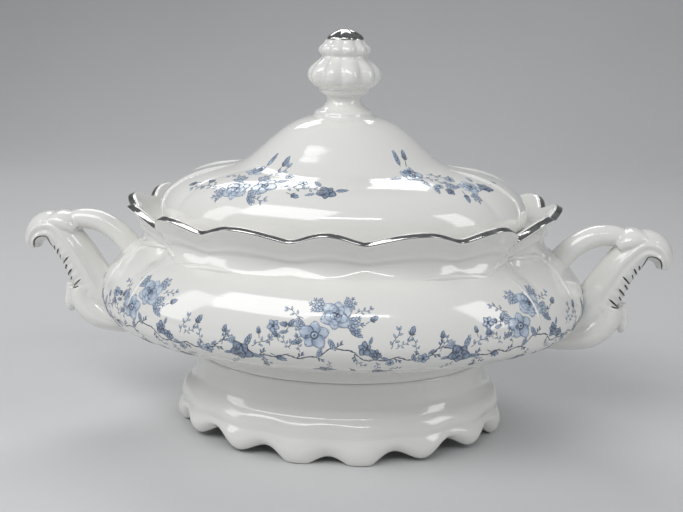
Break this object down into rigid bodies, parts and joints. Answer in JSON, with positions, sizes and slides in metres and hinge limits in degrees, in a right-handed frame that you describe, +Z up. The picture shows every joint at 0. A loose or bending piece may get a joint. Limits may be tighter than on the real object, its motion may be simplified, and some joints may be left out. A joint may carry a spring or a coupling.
{
  "type": "covered soup tureen",
  "caption": "Oblong covered soup tureen in white glazed porcelain with a scalloped platinum-lined rim, leaf handles, lobed foot, domed lid and blue-grey flower prints.",
  "frame": {"origin": "centre of the bounding box on the table plane, under the foot", "axes": "+X along the length through both handles, -Y the front, +Z up"},
  "size_m": [0.319, 0.1772, 0.1942],
  "materials": {
    "porcelain": "gloss",
    "platinum": "polished film"
  },
  "bodies": {
    "bowl": {"bowl_shell": "porcelain", "pedestal_foot": "porcelain", "handle_left": "porcelain", "handle_right": "porcelain", "rim_platinum_line": "platinum"},
    "lid": {"lid_shell": "porcelain", "lid_locating_flange": "porcelain", "finial": "porcelain", "finial_platinum_tip": "platinum"}
  },
  "joints": [
    {"name": "lid_lift", "type": "slide", "parent": "bowl", "child": "lid", "axis": [0, 0, 1], "range_m": [0, 0.12]}
  ]
}
